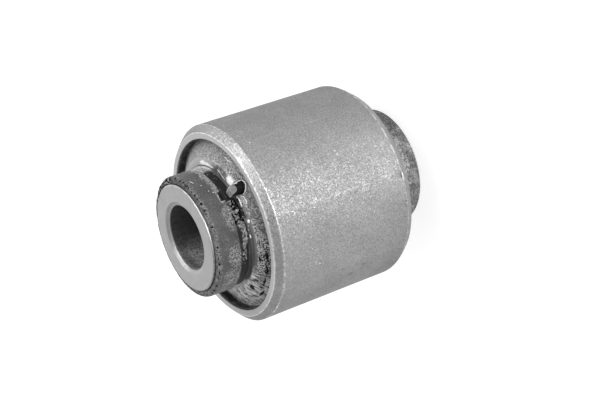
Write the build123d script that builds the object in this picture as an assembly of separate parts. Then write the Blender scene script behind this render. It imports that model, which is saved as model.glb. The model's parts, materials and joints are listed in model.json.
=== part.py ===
from build123d import *
import os

# Rubber metal bush: a steel outer sleeve and a longer steel inner sleeve, joined by one rubber
# moulding that is bonded to both. Millimetres. The bore's axis is +Z and the origin is at mid
# length, on that axis. The gated end of the moulding is the upper one. Angles about the bore are
# in degrees from +X.

# ---- Outer sleeve: the tube that is pressed into the arm's eye ----
OUTER_DIAMETER = 37.5
OUTER_WALL = 2.5
OUTER_LENGTH = 30.0
OUTER_CHAMFER = 1.25  # both legs of the 45 degree chamfer at the upper end
LEAD_IN_LENGTH = 1.55  # of the slimmer chamfer at the lower end, which enters the eye first
LEAD_IN_WIDTH = 1.1  # of that chamfer, along the end face

# ---- Inner sleeve: the tube that the bolt clamps ----
INNER_DIAMETER = 20.0
INNER_PROTRUSION = 7.75  # past the outer sleeve, at either end
INNER_EDGE_BREAK = 0.2
BORE_DIAMETER = 12.2  # clearance on an M12 bolt
BORE_CHAMFER_WIDTH = 0.8  # along the end face
BORE_CHAMFER_DEPTH = 0.35  # along the bore

# ---- Rubber: the coat on the inner sleeve, from its end inwards ----
COLLAR_COAT = 1.35  # thickness of the coat outside the neck
COLLAR_SETBACK = 0.3  # of the coat's rim from the inner sleeve's end face
RIM_CHAMFER = 0.35
NECK_COAT = 1.0  # thickness of the coat in the clean neck groove
NECK_LENGTH = 2.0

# ---- Rubber: the bead round the neck, and the conical end face ----
BEAD_RISE = 0.87  # of the bead's crest above the outer sleeve's end face
BEAD_WIDTH = 1.3  # from the neck to where the bead's crest would meet the end face
BEAD_ROUND = 2.3  # crest of the bead into the end face
FACE_DEPTH = 1.9  # of the end face below the outer sleeve's end, at the wall
SKIN_THICKNESS = 0.2  # of the rubber skin left on the wall of the recess
SKIN_SETBACK = 0.35  # of the skin from the outer sleeve's end face

# ---- Rubber: the broken gate, at the upper end only ----
GATE_ANGLE = -68.0
GATE_RADIUS = 13.4  # of the gate's centre from the bore's axis
DIMPLE_DIAMETER = 2.6
DIMPLE_DEPTH = 1.0  # below the bead's crest
STUB_ROOT_DIAMETER = 2.1  # at the buried end
STUB_TIP_DIAMETER = 1.8
STUB_HEIGHT = 1.2  # of the broken tip above the bead's crest, on the stub's axis
STUB_LEAN = 6.0  # degrees, towards the inner sleeve
BREAK_SLANT = 20.0  # degrees, of the broken tip
TEAR_SPAN = 11.5  # degrees of the coat that tore away above the stub
TEAR_LENGTH = 0.75  # of that tear, along the axis
TEAR_DEPTH = 0.25  # of that tear, into the coat

# ---- Radii and heights that follow from the sizes above ----
OUTER_RADIUS = OUTER_DIAMETER / 2
WALL_RADIUS = OUTER_RADIUS - OUTER_WALL
INNER_RADIUS = INNER_DIAMETER / 2
BORE_RADIUS = BORE_DIAMETER / 2
OUTER_END = OUTER_LENGTH / 2
INNER_END = OUTER_END + INNER_PROTRUSION

COLLAR_RADIUS = INNER_RADIUS + COLLAR_COAT
NECK_RADIUS = INNER_RADIUS + NECK_COAT
BEAD_CREST = OUTER_END + BEAD_RISE
SHOULDER = BEAD_CREST + NECK_LENGTH
RIM_END = INNER_END - COLLAR_SETBACK
FACE_AT_WALL = OUTER_END - FACE_DEPTH
SKIN_END = OUTER_END - SKIN_SETBACK


def turned(corners, angle=360):
    """The solid that a closed outline sweeps round the bore's axis.

    Each corner is (radius, height) or (radius, height, rounding).
    """
    points = [(corner[0], 0, corner[1]) for corner in corners]
    roundings = [corner[2] if len(corner) > 2 else 0 for corner in corners]
    outline = FilletPolyline(*points, radius=roundings, close=True)
    return revolve(make_face(outline), Axis.Z, revolution_arc=angle)


def both_ends(upper_corners):
    """A closed outline from its upper half, given from the inside outwards, mirrored about Z = 0."""
    lower_corners = [(radius, -height, *rounding) for radius, height, *rounding in upper_corners]
    return upper_corners + lower_corners[::-1]


def outer_sleeve():
    return turned(
        [
            (WALL_RADIUS, OUTER_END),
            (OUTER_RADIUS - OUTER_CHAMFER, OUTER_END),
            (OUTER_RADIUS, OUTER_END - OUTER_CHAMFER),
            (OUTER_RADIUS, LEAD_IN_LENGTH - OUTER_END),
            (OUTER_RADIUS - LEAD_IN_WIDTH, -OUTER_END),
            (WALL_RADIUS, -OUTER_END),
        ]
    )


def inner_sleeve():
    return turned(
        both_ends(
            [
                (BORE_RADIUS, INNER_END - BORE_CHAMFER_DEPTH),
                (BORE_RADIUS + BORE_CHAMFER_WIDTH, INNER_END),
                (INNER_RADIUS - INNER_EDGE_BREAK, INNER_END),
                (INNER_RADIUS, INNER_END - INNER_EDGE_BREAK),
            ]
        )
    )


def moulded_ring():
    """The rubber as it leaves the mould, the same at both ends, without the gate."""
    return turned(
        both_ends(
            [
                (INNER_RADIUS, RIM_END),
                (COLLAR_RADIUS - RIM_CHAMFER, RIM_END),
                (COLLAR_RADIUS, RIM_END - RIM_CHAMFER),
                (COLLAR_RADIUS, SHOULDER),
                (NECK_RADIUS, SHOULDER),
                (NECK_RADIUS, BEAD_CREST),
                (NECK_RADIUS + BEAD_WIDTH, BEAD_CREST, BEAD_ROUND),
                (WALL_RADIUS - SKIN_THICKNESS, FACE_AT_WALL),
                (WALL_RADIUS - SKIN_THICKNESS, SKIN_END),
                (WALL_RADIUS, SKIN_END),
            ]
        )
    )


def gate_frame(lean=0):
    """The place of the gate, level with the bead's crest, its X pointing away from the bore."""
    return Rot(Z=GATE_ANGLE) * Pos(GATE_RADIUS, 0, BEAD_CREST) * Rot(Y=-lean)


def gate_dimple():
    """What the gate's shut-off pin kept free of rubber round the stub."""
    return gate_frame() * Cylinder(DIMPLE_DIAMETER / 2, 2 * DIMPLE_DEPTH)


def gate_stub():
    """The rest of the sprue, its root inside the rubber and its tip broken off at a slant."""
    root_depth = BEAD_CREST - FACE_AT_WALL
    whole_height = STUB_HEIGHT + STUB_TIP_DIAMETER
    sprue = Pos(Z=(whole_height - root_depth) / 2) * Cone(
        STUB_ROOT_DIAMETER / 2, STUB_TIP_DIAMETER / 2, whole_height + root_depth
    )
    tip = Plane(Pos(Z=STUB_HEIGHT) * Rot(Y=BREAK_SLANT))
    return gate_frame(STUB_LEAN) * split(sprue, bisect_by=tip, keep=Keep.BOTTOM)


def torn_patch():
    """The piece of the collar's skin that came away with the sprue, above the stub."""
    floor_radius = COLLAR_RADIUS - TEAR_DEPTH
    past_radius = COLLAR_RADIUS + TEAR_DEPTH
    lowest = SHOULDER - NECK_LENGTH / 2
    patch = turned(
        [
            (floor_radius, lowest),
            (past_radius, lowest),
            (past_radius, SHOULDER + TEAR_LENGTH),
            (floor_radius, SHOULDER + TEAR_LENGTH),
        ],
        TEAR_SPAN,
    )
    return Rot(Z=GATE_ANGLE - TEAR_SPAN / 2) * patch


def rubber_body():
    return moulded_ring() - gate_dimple() - torn_patch() + gate_stub()


NODES = {
    "outer_sleeve": outer_sleeve,
    "rubber_body": rubber_body,
    "inner_sleeve": inner_sleeve,
}

os.makedirs("parts", exist_ok=True)
for name, make in NODES.items():
    export_step(make(), f"parts/{name}.step")
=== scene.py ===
"""Looks of the rubber metal bush: worn steel sleeves and dusty moulded rubber over its frame.

Sizes are in millimetres and angles in degrees unless a name says otherwise. Azimuths are measured
about the bore from +X, as in the frame. The gated end of the rubber is the upper one.

Features push the points of a turned piece and paint masks on it, from 0 to 1, that its material
reads. On rubber, dust is a film, grain is loose grains, pale is white, dark is clean and shiny,
gloss is smooth, and one mask is plain black. Some of this paint stands for light and shade: the
black mask is painted shade in pits, creases, gaps, the gate's dimple and the stub's sides; dark
is also painted shade on part of the bead and on the recess wall; pale makes painted highlights
on the bead; dust and pale lie heavier on the bead and the conical face where the key light
falls, as painted light, and there is less dust on one side of the rim as painted shade. On the
steel, the wear and stain masks also hold painted highlights and painted shade, and the bore has
painted light on one side.
"""

import cmath
import json
import math
import random

import bmesh
import bpy
import numpy as np
from mathutils import Matrix, Vector, noise


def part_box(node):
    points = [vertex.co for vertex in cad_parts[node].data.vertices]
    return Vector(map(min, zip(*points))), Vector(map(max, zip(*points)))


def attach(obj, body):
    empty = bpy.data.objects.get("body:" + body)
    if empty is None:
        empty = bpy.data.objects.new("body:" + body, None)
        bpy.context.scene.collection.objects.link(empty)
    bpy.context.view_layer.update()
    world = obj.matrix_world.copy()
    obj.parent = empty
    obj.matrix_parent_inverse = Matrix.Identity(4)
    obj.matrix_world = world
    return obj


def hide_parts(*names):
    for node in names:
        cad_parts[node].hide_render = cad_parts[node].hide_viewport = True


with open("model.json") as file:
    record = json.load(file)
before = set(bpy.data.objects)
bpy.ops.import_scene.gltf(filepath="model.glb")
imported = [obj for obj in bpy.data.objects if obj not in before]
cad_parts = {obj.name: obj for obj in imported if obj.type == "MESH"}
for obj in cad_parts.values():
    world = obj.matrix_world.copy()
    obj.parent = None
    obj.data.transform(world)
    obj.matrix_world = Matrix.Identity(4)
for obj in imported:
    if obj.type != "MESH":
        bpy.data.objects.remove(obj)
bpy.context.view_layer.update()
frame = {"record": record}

MM = 0.001
TURNS = 720  # facets round each turned piece

# ---- Sizes read from the frame ----
OUTER_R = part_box("outer_sleeve")[1].x / MM
OUTER_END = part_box("outer_sleeve")[1].z / MM
WALL_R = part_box("rubber_body")[1].x / MM
RIM_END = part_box("rubber_body")[1].z / MM
INNER_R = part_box("inner_sleeve")[1].x / MM
INNER_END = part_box("inner_sleeve")[1].z / MM
BORE_R = next(m["dims"]["r_mm"] for m in frame["record"]["mounts"] if m["name"] == "bore")

# ---- Outer sleeve ----
OUTER_CHAMFER = 1.25
LEAD_IN_LENGTH = 1.55
LEAD_IN_WIDTH = 1.1
DRAWN_R = OUTER_R - 0.02  # leaves the wear and the waves room inside the CAD's own surface
CHAMFER_R = DRAWN_R - OUTER_CHAMFER  # where the chamfer meets the upper end face
CHAMFER_LOW = OUTER_END - OUTER_CHAMFER
LEAD_IN_TOP = LEAD_IN_LENGTH - OUTER_END
END_SKIN = 0.03  # depth that counts as an end face
JAWS = 8  # of the swaging tool, each of which left a slightly flatter stretch
JAW_LINE = -94.7  # azimuth of one line between two jaws
JAW_RISE = 0.1  # of such a line above the middle of a stretch
JAW_SOFTNESS = 0.12  # rounding of such a line, as a share of half a stretch
JAW_LINE_WIDTH = 0.35  # degrees, of the rubbed crest of such a line
# Grains of dust stuck to it: azimuth, height, size.
GRAINS = [
    (-42.7, 12.5, 0.16), (-50.4, 11.2, 0.2), (-76.8, -10.6, 0.22), (-130.3, 6.5, 0.2),
    (-128.7, 7.4, 0.16), (-77.4, -4.7, 0.14), (-74.3, -10.6, 0.14), (-28.2, 12.7, 0.14),
    (-58.1, 9.1, 0.12), (-36.9, -8.7, 0.12), (-115.9, 2.5, 0.1), (-143.0, -3.8, 0.14),
    (-155.0, 9.9, 0.12), (24.0, 3.0, 0.2), (75.0, -6.0, 0.16), (131.0, 8.0, 0.2),
    (158.0, -2.0, 0.14),
]
# Dark stains: azimuth, height, half width in degrees, half height.
STAINS = [
    (-144.0, -3.9, 2.0, 0.5), (-149.4, -1.7, 1.3, 0.35), (-115.9, 2.4, 1.2, 0.3),
    (-96.0, -13.3, 1.6, 0.3), (62.0, 5.0, 2.2, 0.6), (118.0, -4.0, 1.8, 0.4),
]
# Nicks in the edge at the lower end: azimuth, half width in degrees, depth.
NICKS = [
    (-97.0, 2.6, 0.22), (-112.0, 1.2, 0.12), (-63.0, 0.9, 0.1), (40.0, 1.8, 0.18),
    (150.0, 1.2, 0.12),
]
NICK_HALF_HEIGHT = 0.34
# A painted highlight on the chamfer, where the key light's reflection falls: azimuth, radius, half
# width in degrees, half width in mm.
RUBBED_SPOT = (-57.8, 17.62, 3.0, 0.36)
# Sectors of its wear, of its painted highlights and of its painted shade: first and last azimuth,
# and the fade at both.
WIDE_BURR = (-125, -50, 12)  # at the upper end face
WIDE_LEAD_IN_BURR = (-98, -35, 8)
BLURRED_BURRS = (-150, -92, 8)
# the sector of the band light's highlight: painted brighter within it and darker outside it, along
# the lower half
LEAST_STAINED = (-108, -68, 9)  # along the lower half
# painted shade on the outside
OILY = (-62, -24, 12)
WORN_CHAMFER = (-65, 15, 10)
MOST_WORN_CHAMFER = (-33, 18, 8)
STAINED_CHAMFER = (-105, -68, 8)
WORN_END_FACE = (-105, -35, 12)
DULL_END_FACE = (-200, -150, 25)

# ---- Inner sleeve ----
BORE_CHAMFER_WIDTH = 0.8
BORE_CHAMFER_DEPTH = 0.35
MOUTH = INNER_END - BORE_CHAMFER_DEPTH  # where the chamfer meets the bore
FACE_EDGE = 0.22  # width of the dark edge between the end face and the rubber's rim
# Sectors of its painted highlights and painted shade, and of the painted light in its bore, as
# above.
BRIGHT_MOUTH = (104, 152, 12)
GRIMY_MOUTH = (-22, 88, 9)
GRIMIEST_MOUTH = (-22, 30, 9)
HAZY_BORE = (110, 250, 30)
CLEAN_EDGE = (-115, 5, 10)
RUBBED_EDGE = (-80, 15, 14)

# ---- Rubber ----
COLLAR_R = 11.35
NECK_R = 11.0
SHOULDER = 17.87
CREST = 15.87
FACE_AT_WALL = 13.1
SKIN = 0.2
SKIN_END = 14.65
BEAD_WIDTH = 1.3
FACE_SLOPE = 0.74  # of the conical face, from the bead outwards
PARTING_R = 12.92  # line that the mould left between the bead and the conical face
LOWER_COLLAR_SHIFT = 0.5  # of the lower collar's outside, towards +X
UPPER_STEP = 0.135  # between the outline's points at the gated end
LOWER_STEP = 0.2

# ---- Gate ----
GATE_AZ = -67.5
GATE_R = 13.15
DIMPLE_R = 1.15
DIMPLE_FLOOR = 14.2
STUB_DEPTH = 2.1  # away from the bore
STUB_WIDTH = 1.6
STUB_HEIGHT = 1.2
STUB_ROOT_R = 1.04  # of the stub before it is squared and stretched, as is the next
STUB_TIP_R = 0.97
STUB_TURNS = 96
STUB_TWIST = 8.0
SQUARENESS = 3.2  # power of the curve that the stub's section follows
STUB_LEAN = 4.0
BREAK_SLANT = 20.0
STEEPER = 0.5  # further slope of the broken tip's outer half
TEAR = (-69.8, -59.8)  # azimuths between which the collar's skin came away above the gate
TEAR_TOP = 18.6
TEAR_DEPTH = 0.28

# ---- What the moulding and the years left on the gated end ----
# Dusty patches of the collar: azimuth, height, half width in degrees, half height, amount.
DUSTY_PATCHES = [
    (-150, 19.4, 24, 2.2, 0.9), (-122, 18.9, 15, 1.7, 0.85), (-104, 20.4, 12, 1.1, 0.1),
    (-86, 18.4, 13, 1.5, 0.85), (-36, 18.3, 26, 0.9, 0.95), (-12, 18.5, 15, 1.1, 1.2),
    (-28, 20.0, 20, 1.5, 0.12), (12, 18.8, 26, 1.3, 0.75), (68, 19.6, 32, 1.8, 0.6),
    (128, 18.8, 24, 1.4, 0.8), (172, 20.0, 22, 2.0, 0.7),
]
# Round pits along the rim, by azimuth.
RIM_PITS = [-89, -76, -72.5, -65.5, -59.5, -54.5, -49.5, -43, -40.5, -38, -33.5, -28, -18.5, -9, 8]
PIT_R = 11.03
PIT_HALF_LENGTH = 0.17
PIT_HALF_WIDTH = 0.15
PIT_DEPTH = 0.2
# Rows of longer ones: first and last azimuth, pitch, radius, half length, half width.
RIM_DASHES = [
    (-4, 62, 6.3, 10.3, 0.38, 0.13), (-8, 64, 6.6, 10.8, 0.42, 0.15),
    (8, 74, 5.2, 11.2, 0.46, 0.16), (70, 255, 9.5, 11.0, 0.2, 0.12),
    (-175, -104, 9.0, 11.1, 0.08, 0.05),
]
# Height of the clean neck's upper edge above the shoulder, by azimuth.
NECK_EDGE = [
    (-180, -0.3), (-165, -0.5), (-150, 0.0), (-100, -0.1), (-91, -0.6), (-71, -0.5),
    (-69.5, 0.72), (-60.0, 0.45), (-58.8, -0.08), (-35, -0.1), (-28, -0.4), (-23, -1.6),
    (40, -1.7), (120, -0.3), (180, -0.3),
]
# The ridge of crumbs on the neck: azimuth, lower edge, upper edge, least noise that makes a crumb.
CRUMB_RIDGE = [
    (-134, 16.95, 17.55, 0.2), (-118, 16.5, 17.3, 0.0), (-112, 16.2, 17.15, 0.0),
    (-104, 15.95, 16.9, -0.2), (-90, 16.35, 17.45, -0.15), (-76, 16.8, 18.1, -0.08),
    (-69.5, 17.2, 18.1, 0.0),
]
CRUMB_TOP = 18.6
# Painted highlights, pale patches of the bead where the key light glints on it: azimuth, radius,
# half width in degrees, half width in mm.
PALE_PATCHES = [
    (-56.8, 12.55, 4.5, 0.66), (-13.8, 12.14, 4.4, 0.42), (-20, 11.98, 6.0, 0.3),
    (-27, 11.84, 5.5, 0.18),
]
TORN_FLAP = (-78, 12.7, 5.5, 0.5)  # the same, for the dusty flap past the gate
# Torn flakes round the gate: azimuth, radius, half length, half width, turn from the radius,
# lightness.
FLAKES = [
    (-76.2, 12.75, 0.5, 0.3, 80, 1.2), (-80.8, 12.85, 0.38, 0.22, 60, 1.1),
    (-87.7, 12.6, 0.22, 0.14, 75, 1.3), (-94.6, 12.3, 0.5, 0.42, 70, 1.9),
    (-97.8, 12.0, 0.22, 0.13, 30, 1.4), (-66.5, 12.15, 0.2, 0.12, 0, 0.9),
    (-101.5, 11.7, 0.2, 0.1, 85, 1.3), (-60.7, 13.2, 0.24, 0.12, 60, 1.2),
]
SCORED = (-208, -141)  # azimuths between which the conical face is scored along its slope
SCORED_FADE = 6
# The longer strokes of that scoring: azimuth, radius, half length.
STROKES = [
    (-145.5, 12.8, 0.5), (-151.5, 13.05, 0.45), (-159, 13.3, 1.0), (-155, 14.2, 0.35),
    (-165, 13.9, 0.5), (-148.5, 13.9, 0.3), (-167, 12.9, 0.5), (-172, 13.9, 0.6),
    (-177, 13.3, 0.45), (-142, 13.4, 0.4),
]
STROKE_HALF_WIDTH = 0.14
STROKE_DEPTH = 0.22
FINE_STROKES = 70  # number of its short strokes, placed at random
# Slots across that slope: azimuth, radius, half width in degrees.
SLOTS = [
    (-123.8, 14.25, 5.0), (-136.5, 14.28, 4.4), (-147.5, 14.25, 3.6), (-163, 14.7, 4.5),
    (-113, 14.6, 1.5),
]
SLOT_HALF_WIDTH = 0.19
SLOT_DEPTH = 0.4
CREASE_R = 11.58  # of the black crease in the bead's flat top
FOOT_R = (11.4, 11.52)  # where the dust between that crease and the neck ends
# Drifts of crumbs: count, azimuths, radii, heights, sizes, lightness.
CRUMB_DRIFTS = [
    (22, (-132, -112), (11, 11.2), (16.5, 17.4), (0.1, 0.28), 1.1),
    (100, (-114, -88), (11, 11.3), (16.0, 17.0), (0.12, 0.3), 1.1),
    (90, (-93, -72), (11, 11.4), (16.8, 18.3), (0.12, 0.28), 1.05),
    (34, (-96, -71), (11, 11.4), (15.9, 17.2), (0.1, 0.2), 1.35),
    (16, (-71, -25), (11, 11.2), (16.0, 17.8), (0.05, 0.1), 1.5),
    (60, (-96, -73), (11.2, 12.9), (15.6, 15.9), (0.1, 0.24), 0.9),
    (60, (-180, -135), (12.0, 15.6), (13.4, 15.7), (0.08, 0.2), 1.1),
    (60, (-132, -30), (13.0, 15.6), (13.4, 15.3), (0.06, 0.16), 0.9),
    (60, (-130, 20), (11.3, 11.4), (18.5, 21.8), (0.04, 0.08), 1.2),
    (60, (20, 230), (11, 11.4), (16.0, 21.0), (0.05, 0.14), 0.9),
]
# Pale torn edges that stand up round the gate, each a half width and its places: azimuth, radius.
TORN_EDGES = [
    (0.15, [(-64.0, 14.15), (-66.8, 14.38), (-69.6, 14.3), (-71.6, 14.0), (-72.8, 13.5)]),
    (0.08, [(-62.2, 13.4), (-62.9, 13.8), (-64.0, 14.15)]),
    (0.15, [(-61.9, 12.75), (-62.1, 13.1), (-62.9, 13.45)]),
    (0.13, [(-70.8, 12.0), (-74.0, 12.2), (-77.5, 12.2), (-81.5, 12.1)]),
    (0.09, [(-74.0, 12.75), (-75.2, 13.1), (-77.0, 13.1)]),
    (0.12, [(-76.5, 13.15), (-79.0, 13.2), (-81.6, 13.15)]),
    (0.13, [(-39.2, 14.3), (-41.5, 14.42), (-43.7, 14.32), (-45.8, 14.46), (-48.2, 14.38)]),
    (0.07, [(-50.5, 13.7), (-51.5, 13.4), (-51.8, 13.1)]),
    (0.12, [(-105.6, 11.85), (-107.2, 11.8), (-109.0, 11.75)]),
    (0.05, [(-38, 12.2), (-43, 12.05), (-48, 11.85), (-52, 11.8)]),
]
# Fibres of lint on the collar: azimuth, height, turn from the axis, length.
FIBRES = [
    (-39.5, 21.1, 65, 1.0), (-47.5, 20.3, 20, 0.22), (-56, 19.7, 50, 0.2), (-59, 19.1, 10, 0.3),
]
FIBRE_R = 0.05
FIBRE_BEND = 0.12  # as a share of the length
GRAIN_THICKNESS = 0.012
FLAKE_THICKNESS = 0.1
TORN_EDGE_RISE = 0.04
TORN_EDGE_LIGHT = 1.95

# ---- Greys of the finishes, from 0 for black to 1 for white ----
PHOSPHATE_GREY = (0.2, 0.4)
FLECK_GREY = 0.55
MACHINED_GREY = 0.46
WORN_GREY = 0.75
STAIN_GREY = 0.12
TURNED_GREY = (0.42, 0.48)
GRIME_GREY = 0.1
SOOT_GREY = (0.03, 0.08)
HAZE_GREY = (0.18, 0.46)
FILM_GREY = (0.036, 0.056)
DUST_GREY = (0.01, 0.27)
GLOSSY_DUST_GREY = 0.24
LOOSE_GRAIN_GREY = 0.34
CLEAN_GREY = 0.018
PALE_GREY = 0.72
HOLLOW_GREY = 0.008
GRIT_GREY = (0.6, 0.85)
FLOOR_GREY = (0.39, 0.41)
FLOOR_GLOW = 0.75

# ---- Camera and stage ----
CAMERA_AIM = (-0.41, 0.0, -2.08)
CAMERA_DISTANCE = 266.5
CAMERA_ELEVATION = 28.93
CAMERA_ROLL = -109.463
LENS = 85.35
SENSOR = 36.0
FLOOR_SIZE = 4000.0
HORIZON_LIGHT = 1.0  # of the sky, as is the next
ZENITH_LIGHT = 0.5
FAR_DIMMING = 0.84  # share of that light that the sky keeps towards +X
FADING_SKY = (0.4, 0.9)  # where the fading to the zenith starts and ends, as a share of its height
DIMMING_SKY = (0.1, 0.9)  # the same towards +X
KEY_PLACE = (260, -90, 410)
KEY_SIZE = 400
KEY_WATTS = 1.62
BAND_PLACE = (20, -430, -5)
BAND_SIZE = 150
BAND_WATTS = 1.65


# ---- Small maths ----

def smooth(low, high, value):
    """0 below low, 1 above high, and a smooth step between them."""
    t = np.clip((value - low) / (high - low), 0, 1)
    return t * t * (3 - 2 * t)


def between(low, high, value, soft):
    """1 from low to high, fading over soft on both sides of each."""
    return smooth(low - soft, low + soft, value) * (1 - smooth(high - soft, high + soft, value))


def turn_between(azimuth, middle):
    """Signed angle from middle to azimuth, from -180 to 180."""
    return (azimuth - middle + 180) % 360 - 180


def about_bore(azimuth, radius=1.0):
    """The X and Y of a place about the bore."""
    a = np.radians(azimuth)
    return radius * np.cos(a), radius * np.sin(a)


def lumps(points, size, seed):
    """Smooth noise from -1 to 1 at each point, with lumps about size mm across."""
    shift = Vector((seed * 7.31, seed * 3.77, seed * 5.13))
    flat = points.reshape(-1, 3) / size
    return np.array([noise.noise(Vector(p) + shift) for p in flat]).reshape(points.shape[:-1])


def patch(across, along, ragged):
    """1 inside an elliptical patch and 0 outside; across and along are 1 at its ragged edge."""
    return 1 - smooth(0.45, 1.2, np.hypot(across, along) + 0.35 * ragged)


# ---- Turned pieces ----

def rounded(before, here, after, rounding, step):
    """Points of the arc that rounds one corner of an outline, no further apart than step."""
    to_before = (before - here) / abs(before - here)
    to_after = (after - here) / abs(after - here)
    half = abs(cmath.phase(to_after / to_before)) / 2
    middle = (to_before + to_after) / abs(to_before + to_after)
    centre = here + middle * rounding / math.sin(half)
    start = here + to_before * rounding / math.tan(half) - centre
    end = here + to_after * rounding / math.tan(half) - centre
    sweep = cmath.phase(end / start)
    count = max(2, math.ceil(abs(sweep) * rounding / step))
    return [centre + start * cmath.rect(1, sweep * i / count) for i in range(count + 1)]


def outline_of(corners):
    """A closed outline as complex numbers, each a radius and a height, from its corners.

    A corner is (radius, height, rounding, step). A rounding becomes an arc, and no point is
    further than step from the next one up to the next corner.
    """
    points = []
    places = [complex(radius, height) for radius, height, _, _ in corners]
    for k, (_, _, rounding, step) in enumerate(corners):
        arc = [places[k]]
        if rounding:
            arc = rounded(places[k - 1], places[k], places[(k + 1) % len(places)], rounding, step)
        points += [(each, step) for each in arc]
    dense = []
    for k, (here, step) in enumerate(points):
        after = points[(k + 1) % len(points)][0]
        pieces = max(1, math.ceil(abs(after - here) / step - 1e-6))
        dense += [here + (after - here) * i / pieces for i in range(pieces)]
    return np.array(dense)


class Turned:
    """A closed outline turned about Z: points that features push about before they are a mesh."""

    def __init__(self, corners, turns=TURNS):
        outline = outline_of(corners)
        self.turns = turns
        after = np.roll(outline, -1)
        area = np.sum((outline.conj() * after).imag)
        out = -1j * np.sign(area) * (after - np.roll(outline, 1))
        out = (out / abs(out))[:, None]
        self.turned_left = area > 0
        grid = outline[:, None] + np.zeros(turns)
        self.radius, self.height = grid.real, grid.imag
        self.azimuth = (np.arange(turns) * 360 / turns + np.zeros(grid.shape) + 180) % 360 - 180
        self.out_r, self.out_h = out.real, out.imag
        self.start = self.points()
        self.masks = {}

    def points(self):
        return np.stack([*about_bore(self.azimuth, self.radius), self.height], -1)

    def lumps(self, size, seed, squeeze=(1, 1, 1)):
        """The noise of lumps, over the piece as it was before any feature."""
        return lumps(self.start * squeeze, size, seed)

    def sector(self, first, last, fade):
        """1 from the first azimuth to the last, which may be past 180, fading at both."""
        half = (last - first) / 2
        return between(-half, half, turn_between(self.azimuth, (first + last) / 2), fade)

    def spot(self, azimuth, half_az, along, ragged):
        """A patch about an azimuth; along is 0 in its middle and 1 at its edge."""
        return patch(turn_between(self.azimuth, azimuth) / half_az, along, ragged)

    def push(self, amount):
        """Moves each point outwards, along the outline's own normal."""
        self.radius = self.radius + self.out_r * amount
        self.height = self.height + self.out_h * amount

    def paint(self, **amounts):
        """Raises each mask to its amount where it is lower."""
        for mask, amount in amounts.items():
            self.masks[mask] = np.maximum(self.masks.get(mask, 0), amount)

    def wipe(self, where, *masks):
        for mask in masks:
            self.masks[mask] = self.masks[mask] * (1 - where)

    def surface(self, azimuth, radius, height):
        """The nearest grid point to a place on the piece, and the surface's normal there."""
        p = self.points()
        there = np.array((*about_bore(azimuth, radius), height))
        i, j = np.unravel_index(np.argmin(((p - there) ** 2).sum(-1)), self.radius.shape)
        across = p[(i + 1) % len(p), j] - p[i - 1, j]
        around = p[i, (j + 1) % self.turns] - p[i, j - 1]
        normal = np.cross(around, across)
        outward = (*about_bore(azimuth, self.out_r[i, 0]), self.out_h[i, 0])
        normal *= np.sign(normal @ outward)
        return Vector(p[i, j]), Vector(normal).normalized()

    def piece(self, name, material):
        index = np.arange(self.radius.size).reshape(self.radius.shape)
        aside = np.roll(index, -1, 1)
        corner = np.stack([index, aside, np.roll(aside, -1, 0), np.roll(index, -1, 0)], -1)
        corner = corner.reshape(-1, 4)
        if not self.turned_left:
            corner = corner[:, ::-1]
        masks = {key: np.clip(value, 0, 1).reshape(-1) for key, value in self.masks.items()}
        return mesh_piece(name, self.points().reshape(-1, 3), corner.tolist(), material, masks)


def mesh_piece(name, points, faces, material, masks=None):
    """A smooth mesh object from points in mm, with a float attribute for each mask."""
    mesh = bpy.data.meshes.new(name)
    mesh.from_pydata((np.asarray(points, float) * MM).tolist(), [], faces)
    mesh.polygons.foreach_set("use_smooth", [True] * len(mesh.polygons))
    for key, value in (masks or {}).items():
        attribute = mesh.attributes.new(key, "FLOAT", "POINT")
        attribute.data.foreach_set("value", value.astype(np.float32))
    mesh.materials.append(material)
    mesh.update()
    piece = bpy.data.objects.new(name, mesh)
    bpy.context.scene.collection.objects.link(piece)
    return piece


# ---- Materials ----

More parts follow.
